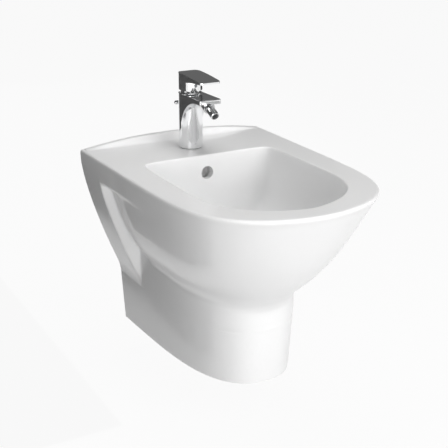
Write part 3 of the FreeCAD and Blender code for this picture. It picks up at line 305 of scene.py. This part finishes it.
def glaze_finish(settings):
    """White glaze with slow colour drift and ripples, and bare clay at the wall, the foot and inside."""
    f = Finish("white_glaze")
    wall = f.axis("Y").rise(WALL_Y - settings.bare_band, WALL_Y)
    foot = 1 - f.axis("Z").rise(FOOT_Z, FOOT_Z + settings.bare_band)
    hidden = f.node("ShaderNodeAttribute", {"attribute_name": "unglazed"}, {}, "Fac")
    ragged = hidden + 0.35 * (f.noise(0.012) - 0.5)
    bare = wall | foot | ragged.rise(0.42, 0.58)
    drift = f.noise(0.11)
    glaze = f.blend(drift, opaque(settings.tint, 0.985), opaque(settings.tint, 1.015))
    thin = f.node("ShaderNodeAttribute", {"attribute_name": "thin_glaze"}, {}, "Fac")
    glaze = f.blend(thin * 0.08, glaze, opaque(settings.bisque, 1.12))
    speck = 1 - f.cells(0.009, "F1").rise(0.018, 0.030)
    glaze = f.blend(speck * 0.12, glaze, opaque(settings.bisque, 0.6))
    clay = f.blend(f.noise(0.004, 5.0), opaque(settings.bisque, 0.90), opaque(settings.bisque, 1.06))
    orange_peel = f.noise(0.0035, 1.0)
    waves = f.noise(0.045, 1.0) + 0.06 * orange_peel
    grit = f.noise(0.0009, 4.0)
    relief = f.bump(waves * (1 - bare) + grit * bare, settings.ripple)
    smear = f.noise(0.06, 3.0)
    return f.surface({
        "Base Color": f.blend(bare, glaze, clay),
        "Roughness": (settings.sheen + 0.06 * (smear - 0.5)) * (1 - bare) + 0.82 * bare,
        "Coat Weight": 0.38 * (1 - bare),
        "Coat Roughness": 0.12,
        "Coat IOR": 1.5,
        "Specular IOR Level": 0.3,
        "Normal": relief,
    })


def chrome_finish(settings):
    """Mirror plating with a faint haze of wiping marks and a few dried water drops."""
    f = Finish("polished_chrome")
    wiping = f.noise(0.010, 3.0, f.stretched(1.0, 1.0, 0.25))
    spots = f.cells(0.011, "F1")
    ring = spots.rise(0.16, 0.20) * (1 - spots.rise(0.20, 0.25))
    sparse = f.noise(0.030).rise(0.56, 0.68)
    haze = wiping.rise(0.45, 0.80)
    tone = f.blend(haze, opaque(settings.chrome), opaque(settings.chrome, 0.95))
    plate = f.noise(0.018, 1.0) + 0.05 * f.noise(0.0015, 2.0)
    return f.surface({
        "Base Color": f.blend(ring * sparse * 0.2, tone, opaque(settings.chrome, 0.86)),
        "Metallic": 1.0,
        "Roughness": settings.polish + 0.035 * haze + 0.16 * ring * sparse,
        "Normal": f.bump(plate, 0.00001),
    })


def brass_finish(settings):
    """Turned brass with fine tool lines round the axis and dull patches."""
    f = Finish("turned_brass")
    lines = f.node("ShaderNodeTexWave", {"wave_type": "BANDS", "bands_direction": "Z"},
                   {"Vector": f.place(), "Scale": 900.0, "Distortion": 0.6, "Detail": 1.0}, "Fac")
    dull = f.noise(0.008, 4.0).rise(0.45, 0.75)
    return f.surface({
        "Base Color": f.blend(dull, opaque(settings.brass), opaque(settings.brass, 0.70)),
        "Metallic": 1.0,
        "Roughness": 0.24 + 0.20 * dull,
        "Normal": f.bump(lines, 0.00002),
    })


def steel_finish(settings):
    """Zinc-plated steel with spangle and a cool bloom."""
    f = Finish("zinc_plated_steel")
    spangle = f.node("ShaderNodeTexVoronoi", {}, {"Vector": f.place(), "Scale": 900.0}, "Color")
    bloom = f.noise(0.012, 4.0).rise(0.42, 0.70)
    tone = f.blend(0.10, opaque(settings.steel), spangle)
    return f.surface({
        "Base Color": f.blend(bloom * 0.5, tone, (0.62, 0.66, 0.74, 1.0)),
        "Metallic": 1.0,
        "Roughness": 0.30 + 0.18 * bloom,
        "Normal": f.bump(f.noise(0.0008, 3.0), 0.00002),
    })


def steel_wire_finish(settings):
    """Drawn wire in darkened steel, with dull patches at random."""
    f = Finish("drawn_wire")
    dull = f.noise(0.0012, 3.0).rise(0.40, 0.70)
    return f.surface({
        "Base Color": f.blend(dull, opaque(settings.steel, 0.55), opaque(settings.steel, 0.25)),
        "Metallic": 1.0,
        "Roughness": 0.28 + 0.25 * dull,
    })


def rubber_finish(settings):
    """Black rubber with fine grain and pale dust."""
    f = Finish("black_rubber")
    dust = f.noise(0.006, 5.0).rise(0.50, 0.80)
    grain = f.noise(0.0006, 3.0)
    return f.surface({
        "Base Color": f.blend(dust * 0.35, opaque(settings.rubber), (0.16, 0.155, 0.15, 1.0)),
        "Roughness": 0.70 + 0.16 * dust,
        "Normal": f.bump(grain, 0.00004),
    })


def plastic_finish(name, tint):
    """Moulded plastic with a spark-eroded grain."""
    f = Finish(name)
    drift = f.noise(0.020, 2.0)
    grain = f.cells(0.0007, "SMOOTH_F1")
    return f.surface({
        "Base Color": f.blend(drift, opaque(tint, 0.95), opaque(tint, 1.04)),
        "Roughness": 0.42 + 0.12 * drift,
        "Normal": f.bump(grain, 0.00003),
    })


def alone(piece):
    """Makes a piece the only selected and active object."""
    bpy.ops.object.select_all(action="DESELECT")
    piece.select_set(True)
    bpy.context.view_layer.objects.active = piece


def welded_copy(node, name):
    """Copy of a CAD node's mesh with its loose triangles joined."""
    source = frame["nodes"][node]
    piece = bpy.data.objects.new(name, source.data.copy())
    bpy.context.scene.collection.objects.link(piece)
    alone(piece)
    bpy.ops.mesh.customdata_custom_splitnormals_clear()
    bpy.ops.object.mode_set(mode="EDIT")
    bpy.ops.mesh.select_all(action="SELECT")
    bpy.ops.mesh.remove_doubles(threshold=WELD)
    bpy.ops.object.mode_set(mode="OBJECT")
    return piece


def apply_all(piece):
    """Applies a piece's modifiers in order."""
    alone(piece)
    for modifier in list(piece.modifiers):
        bpy.ops.object.modifier_apply(modifier=modifier.name)


def close_ends(piece):
    """Fills a piece's open ends and turns its faces outwards."""
    alone(piece)
    bpy.ops.object.mode_set(mode="EDIT")
    bpy.ops.mesh.select_mode(type="EDGE")
    bpy.ops.mesh.select_all(action="DESELECT")
    bpy.ops.mesh.select_non_manifold()
    bpy.ops.mesh.fill_holes(sides=8)
    bpy.ops.mesh.select_all(action="SELECT")
    bpy.ops.mesh.normals_make_consistent(inside=False)
    bpy.ops.object.mode_set(mode="OBJECT")


def smooth(piece, degrees):
    alone(piece)
    bpy.ops.object.shade_smooth_by_angle(angle=math.radians(degrees))


def shade_flats(piece):
    """Lets broad flats shade flat up to their rounded edges."""
    weighted = piece.modifiers.new("flats", "WEIGHTED_NORMAL")
    weighted.mode = "FACE_AREA_WITH_ANGLE"
    weighted.keep_sharp = True
    apply_all(piece)


def dress(piece, material):
    piece.data.materials.clear()
    piece.data.materials.append(material)


def settle(piece, node, material):
    """Lets a piece stand for a CAD node on that node's body."""
    dress(piece, material)
    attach(piece, frame["nodes"][node]["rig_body"])
    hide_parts(node)


def eased_copy(node, material, edge):
    """Puts a copy in place of a node, with its sharp edges rounded as polishing leaves them."""
    piece = welded_copy(node, node + "_polished")
    bpy.ops.object.mode_set(mode="EDIT")
    bpy.ops.mesh.select_all(action="SELECT")
    bpy.ops.mesh.dissolve_limited(angle_limit=math.radians(FLAT_ANGLE))
    bpy.ops.object.mode_set(mode="OBJECT")
    bevel = piece.modifiers.new("edge", "BEVEL")
    bevel.width = edge
    bevel.segments = 2
    bevel.limit_method = "ANGLE"
    bevel.angle_limit = math.radians(EASED_ANGLE)
    apply_all(piece)
    smooth(piece, EASED_ANGLE)
    shade_flats(piece)
    settle(piece, node, material)


class BIDET_OT_glazed_body(bpy.types.Operator):
    """Glaze the fired body, and leave bare clay where no spray reaches"""
    bl_idname = "bidet.glazed_body"
    bl_label = "Glazed body"

    def execute(self, context):
        piece = welded_copy("ceramic_body", "glazed_body")
        self.mark_unglazed(piece.data)
        self.mark_thin(piece.data)
        smooth(piece, SMOOTH_ANGLE)
        shade_flats(piece)
        settle(piece, "ceramic_body", glaze_finish(context.scene.bidet_glaze))
        return {"FINISHED"}

    def mark_unglazed(self, mesh):
        """Stores where the body is shut in, so that no spray from above or outside reaches it."""
        points = [v.co.copy() for v in mesh.vertices]
        tree = BVHTree.FromPolygons(points, [p.vertices[:] for p in mesh.polygons])
        shut = mesh.attributes.new("unglazed", "FLOAT", "POINT")
        values = []
        for vertex in mesh.vertices:
            start = vertex.co + vertex.normal * SIGHT_LIFT
            side = Vector((vertex.co.x, min(vertex.co.y - SPRAY_AXIS_Y, 0.0), 0.0))
            side = side.normalized() if side.length > SIGHT_LIFT else Vector((0, -1, 0))
            ways = [vertex.normal, UP, side]
            blocked = all(tree.ray_cast(start, way)[0] is not None for way in ways)
            in_channel = vertex.co.y < CHANNEL_Y and vertex.co.z > CHANNEL_Z
            values.append(1.0 if blocked and not in_channel else 0.0)
        shut.data.foreach_set("value", self.averaged(mesh, values, rounds=4))

    def mark_thin(self, mesh):
        """Stores how sharply the surface turns outwards, where glaze runs thin."""
        bend = [0.0] * len(mesh.vertices)
        for edge in mesh.edges:
            a, b = (mesh.vertices[i] for i in edge.vertices)
            span = b.co - a.co
            reach = max(span.length, SHORTEST_SPAN)
            turn = (b.normal - a.normal).dot(span) / (reach * reach)
            for vertex in (a, b):
                bend[vertex.index] = max(bend[vertex.index], turn)
        sharp = [min(max((value - THIN_FROM) / THIN_RANGE, 0.0), 1.0) for value in bend]
        thin = mesh.attributes.new("thin_glaze", "FLOAT", "POINT")
        thin.data.foreach_set("value", self.averaged(mesh, sharp, rounds=2))

    def averaged(self, mesh, values, rounds):
        """Point values smoothed over the mesh's edges."""
        for _ in range(rounds):
            total = list(values)
            count = [1] * len(values)
            for edge in mesh.edges:
                a, b = edge.vertices
                total[a] += values[b]
                total[b] += values[a]
                count[a] += 1
                count[b] += 1
            values = [t / c for t, c in zip(total, count)]
        return values


class BIDET_OT_plated_tap(bpy.types.Operator):
    """Polish and plate the tap, the lift pull and the waste"""
    bl_idname = "bidet.plated_tap"
    bl_label = "Plated tap and waste"

    def execute(self, context):
        settings = context.scene.bidet_metal
        chrome = chrome_finish(settings)
        for node in SLOT_NODES["chrome"]:
            eased_copy(node, chrome, settings.edge)
        return {"FINISHED"}


class BIDET_OT_small_fittings(bpy.types.Operator):
    """Finish the brass, steel, rubber and plastic fittings"""
    bl_idname = "bidet.small_fittings"
    bl_label = "Small fittings"

    def execute(self, context):
        metal = context.scene.bidet_metal
        moulded = context.scene.bidet_moulded
        finishes = {
            "brass": brass_finish(metal),
            "steel": steel_finish(metal),
            "rubber": rubber_finish(moulded),
            "white_plastic": plastic_finish("white_plastic", moulded.white),
            "grey_plastic": plastic_finish("grey_plastic", moulded.grey),
        }
        strainer = plastic_finish("strainer_plastic", moulded.strainer)
        for slot, material in finishes.items():
            for node in SLOT_NODES[slot]:
                finish = strainer if node == "aerator" else material
                eased_copy(node, finish, metal.edge / 2)
        return {"FINISHED"}


class BIDET_OT_threads(bpy.types.Operator):
    """Cut the threads of the tap's stud and the waste's tube"""
    bl_idname = "bidet.threads"
    bl_label = "Threads"

    def execute(self, context):
        settings = context.scene.bidet_detail
        metal = context.scene.bidet_metal
        low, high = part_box("mounting_stud")
        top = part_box("clamp_gasket")[1].z
        stem = (low + high) / 2, (high.x - low.x) / 2
        self.coil("stud_thread", stem, low.z, top, settings.stud_pitch, "steel", steel_finish(metal))
        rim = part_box("waste_body")[1].z
        bottom = rim - 2 * settings.waste_pitch
        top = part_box("waste_locknut")[0].z + settings.waste_pitch
        low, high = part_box("plug")
        middle = (low + high) / 2
        stem = middle, self.tube_radius(middle, rim)
        self.coil("waste_thread", stem, bottom, top, settings.waste_pitch, "chrome", chrome_finish(metal))
        return {"FINISHED"}

    def tube_radius(self, middle, height):
        """Outer radius of the waste's tube, from its points below a height."""
        points = [v.co for v in frame["nodes"]["waste_flange"].data.vertices if v.co.z < height]
        return max((point.xy - middle.xy).length for point in points)

    def coil(self, name, stem, bottom, top, pitch, slot, material):
        """Winds a ridge round an upright stem of a middle and a radius, from one height to another."""
        middle, radius = stem
        base = (middle.x, middle.y, bottom + pitch / 2)
        bpy.ops.object.select_all(action="DESELECT")
        bpy.ops.mesh.primitive_circle_add(vertices=6, radius=RIDGE_RADIUS * pitch, location=base)
        coil = bpy.context.object
        coil.name = name
        bpy.ops.object.mode_set(mode="EDIT")
        bpy.ops.transform.rotate(value=math.pi / 2, orient_axis="X", center_override=base)
        bpy.ops.transform.translate(value=(radius - RIDGE_SUNK * pitch, 0, 0))
        bpy.ops.object.mode_set(mode="OBJECT")
        screw = coil.modifiers.new("turns", "SCREW")
        screw.screw_offset = pitch
        screw.iterations = int((top - bottom) / pitch) - 1
        screw.steps = TURN_STEPS
        screw.render_steps = TURN_STEPS
        apply_all(coil)
        close_ends(coil)
        bpy.ops.object.transform_apply()
        smooth(coil, SMOOTH_ANGLE)
        dress(coil, material)
        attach(coil, "fixture")


class BIDET_OT_nozzle_screen(bpy.types.Operator):
    """Weave the wire screen in the nozzle's mouth"""
    bl_idname = "bidet.nozzle_screen"
    bl_label = "Nozzle screen"

    def execute(self, context):
        settings = context.scene.bidet_detail
        low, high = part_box("aerator")
        joints = {joint["name"]: joint for joint in frame["record"]["behaviour"]["joints"]}
        ball = Vector(joints["nozzle_tilt"]["pos_m"])
        axis = ((low + high) / 2 - ball).normalized()
        radius = (high.x - low.x) / 2
        points = [v.co for v in frame["nodes"]["aerator"].data.vertices]
        face = ball + axis * (max((p - ball).dot(axis) for p in points) + settings.wire)
        turn = axis.to_track_quat("Z", "Y").to_euler()
        count = int(2 * radius / settings.mesh)
        bpy.ops.object.select_all(action="DESELECT")
        bpy.ops.mesh.primitive_grid_add(x_subdivisions=count, y_subdivisions=count, size=2 * radius,
                                        location=face, rotation=turn)
        screen = context.object
        screen.name = "nozzle_screen"
        bpy.ops.object.transform_apply()
        bpy.ops.object.mode_set(mode="EDIT")
        bpy.ops.mesh.select_mode(type="VERT")
        bpy.ops.mesh.select_all(action="DESELECT")
        bpy.ops.object.mode_set(mode="OBJECT")
        for vertex in screen.data.vertices:
            vertex.select = (vertex.co - face).length > radius - settings.wire
        bpy.ops.object.mode_set(mode="EDIT")
        bpy.ops.mesh.delete(type="VERT")
        bpy.ops.mesh.select_all(action="SELECT")
        bpy.ops.mesh.delete_loose()
        bpy.ops.object.mode_set(mode="OBJECT")
        wires = screen.modifiers.new("wires", "WIREFRAME")
        wires.thickness = settings.wire
        apply_all(screen)
        close_ends(screen)
        bpy.ops.object.select_all(action="DESELECT")
        bpy.ops.mesh.primitive_torus_add(major_radius=radius - 2 * settings.wire,
                                         minor_radius=RIM_WIRE * settings.wire, major_segments=48,
                                         minor_segments=8, location=face, rotation=turn)
        bpy.ops.object.transform_apply()
        screen.select_set(True)
        context.view_layer.objects.active = screen
        bpy.ops.object.join()
        smooth(screen, SMOOTH_ANGLE)
        dress(screen, steel_wire_finish(context.scene.bidet_metal))
        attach(screen, "nozzle_head")
        return {"FINISHED"}


def aimed_lamp(name, place, target, size, watts):
    """Soft lamp that faces a target."""
    bpy.ops.object.light_add(type="AREA", location=place)
    lamp = bpy.context.object
    lamp.name = name
    lamp.data.shape = "RECTANGLE"
    lamp.data.size = size[0]
    lamp.data.size_y = size[1]
    lamp.data.energy = watts
    lamp.rotation_euler = (Vector(target) - Vector(place)).to_track_quat("-Z", "Y").to_euler()
    return lamp


def floor_finish(settings):
    """Pale floor that shows white, with the object's own shade kept in it."""
    f = Finish("pale_floor")
    seen = f.node("ShaderNodeLightPath", {}, {}, "Is Camera Ray")
    seen = seen | f.node("ShaderNodeLightPath", {}, {}, "Is Glossy Ray")
    seen = seen | f.node("ShaderNodeLightPath", {}, {}, "Is Transmission Ray")
    matt = f.node("ShaderNodeBsdfDiffuse", {}, {"Color": opaque(settings.floor_tint)})
    white = f.node("ShaderNodeEmission", {}, {"Color": (1.0, 1.0, 1.0, 1.0), "Strength": 1.0})
    mixed = f.node("ShaderNodeMixShader", {}, {0: seen * (1 - settings.shadow), 1: matt, 2: white})
    f.node("ShaderNodeOutputMaterial", {}, {"Surface": mixed})
    return f.material


class BIDET_OT_studio(bpy.types.Operator):
    """Set up the floor, the backdrop, the lamps, the cards, the room and the camera"""
    bl_idname = "bidet.studio"
    bl_label = "Studio"

    def execute(self, context):
        settings = context.scene.bidet_studio
        middle = (CAD_BOX[0] + CAD_BOX[1]) / 2
        ground = CAD_BOX[0].z - settings.floor_drop
        bpy.ops.object.select_all(action="DESELECT")
        bpy.ops.mesh.primitive_plane_add(size=40, location=(0, 0, ground))
        floor = context.object
        floor.name = "pale_floor"
        bpy.ops.mesh.primitive_cylinder_add(vertices=96, radius=18, depth=5, end_fill_type="NOTHING",
                                            location=(0, 0, ground))
        backdrop = context.object
        backdrop.name = "pale_backdrop"
        pale = floor_finish(settings)
        for surface in (floor, backdrop):
            dress(surface, pale)
        for name, (place, size, beam, shown) in LAMPS.items():
            lamp = aimed_lamp(name + "_lamp", place, middle, size, getattr(settings, name))
            lamp.data.spread = math.radians(beam)
            lamp.visible_glossy = shown
        self.stand_cards(settings.card, ground + CARD_LIFT)
        self.light_room(context.scene, settings.room)
        self.set_camera(context.scene, settings)
        context.scene.view_settings.view_transform = "Standard"
        return {"FINISHED"}

    def stand_cards(self, tone, foot):
        """Lays a dark card on the floor at the left and stands others up, for the plating to reflect."""
        f = Finish("card_felt")
        felt = f.blend(f.noise(0.002, 3.0), opaque(tone, 0.8), opaque(tone, 1.2))
        material = f.surface({"Base Color": felt, "Roughness": 0.95, "Specular IOR Level": 0.1})
        self.card("floor_card", (-0.32, 0.675, foot), (0.20, 1.85), 0.0, material)
        upright = {
            "left_card": (-0.42, (0.30, 1.60), (foot, foot + 1.06)),
            "left_hood": (-0.42, (-0.25, 0.30), (0.09, 0.85)),
            "left_skirt": (-0.42, (-0.25, 0.30), (foot, -0.03)),
            "right_hood": (0.30, (-0.10, 0.60), (0.14, 0.34)),
        }
        for name, (x, y, z) in upright.items():
            place = (x, sum(y) / 2, sum(z) / 2)
            self.card(name, place, (z[1] - z[0], y[1] - y[0]), math.pi / 2, material)

    def card(self, name, place, size, turn, material):
        """Flat card, turned about its long side, that only lights and reflections see."""
        bpy.ops.mesh.primitive_plane_add(size=1, location=place, rotation=(0, turn, 0))
        card = bpy.context.object
        card.name = name
        card.scale = (*size, 1.0)
        bpy.ops.object.transform_apply()
        card.visible_camera = False
        dress(card, material)

    def light_room(self, scene, level):
        scene.world = bpy.data.worlds.new("studio_room")
        scene.world.use_nodes = True
        background = scene.world.node_tree.nodes["Background"]
        background.inputs["Color"].default_value = (1.0, 1.0, 1.0, 1.0)
        background.inputs["Strength"].default_value = level

    def set_camera(self, scene, settings):
        bpy.ops.object.camera_add(location=settings.camera)
        camera = bpy.context.object
        camera.name = "photo_camera"
        camera.rotation_euler = Vector(settings.gaze).to_track_quat("-Z", "Y").to_euler()
        camera.data.sensor_width = 36
        camera.data.lens = settings.lens
        camera.data.clip_start = 0.05
        camera.data.clip_end = 60
        scene.camera = camera


class BIDET_PT_panel(bpy.types.Panel):
    bl_idname = "BIDET_PT_panel"
    bl_label = "Wall-hung bidet"
    bl_space_type = "VIEW_3D"
    bl_region_type = "UI"
    bl_category = "Bidet"

    def draw(self, context):
        for operator in OPERATORS:
            self.layout.operator(operator.bl_idname)
        for name, group in SETTINGS.items():
            box = self.layout.box()
            for prop in group.__annotations__:
                box.prop(getattr(context.scene, name), prop)


SETTINGS = {
    "bidet_glaze": BidetGlazeSettings,
    "bidet_metal": BidetMetalSettings,
    "bidet_moulded": BidetMouldedSettings,
    "bidet_detail": BidetDetailSettings,
    "bidet_studio": BidetStudioSettings,
}
OPERATORS = [BIDET_OT_glazed_body, BIDET_OT_plated_tap, BIDET_OT_small_fittings, BIDET_OT_threads,
             BIDET_OT_nozzle_screen, BIDET_OT_studio]


def register():
    for name, group in SETTINGS.items():
        bpy.utils.register_class(group)
        setattr(bpy.types.Scene, name, PointerProperty(type=group))
    for operator in OPERATORS:
        bpy.utils.register_class(operator)
    bpy.utils.register_class(BIDET_PT_panel)


def unregister():
    bpy.utils.unregister_class(BIDET_PT_panel)
    for operator in reversed(OPERATORS):
        bpy.utils.unregister_class(operator)
    for name, group in SETTINGS.items():
        delattr(bpy.types.Scene, name)
        bpy.utils.unregister_class(group)


def main():
    register()
    bpy.ops.bidet.glazed_body()
    bpy.ops.bidet.plated_tap()
    bpy.ops.bidet.small_fittings()
    bpy.ops.bidet.threads()
    bpy.ops.bidet.nozzle_screen()
    bpy.ops.bidet.studio()


if __name__ == "__main__":
    main()
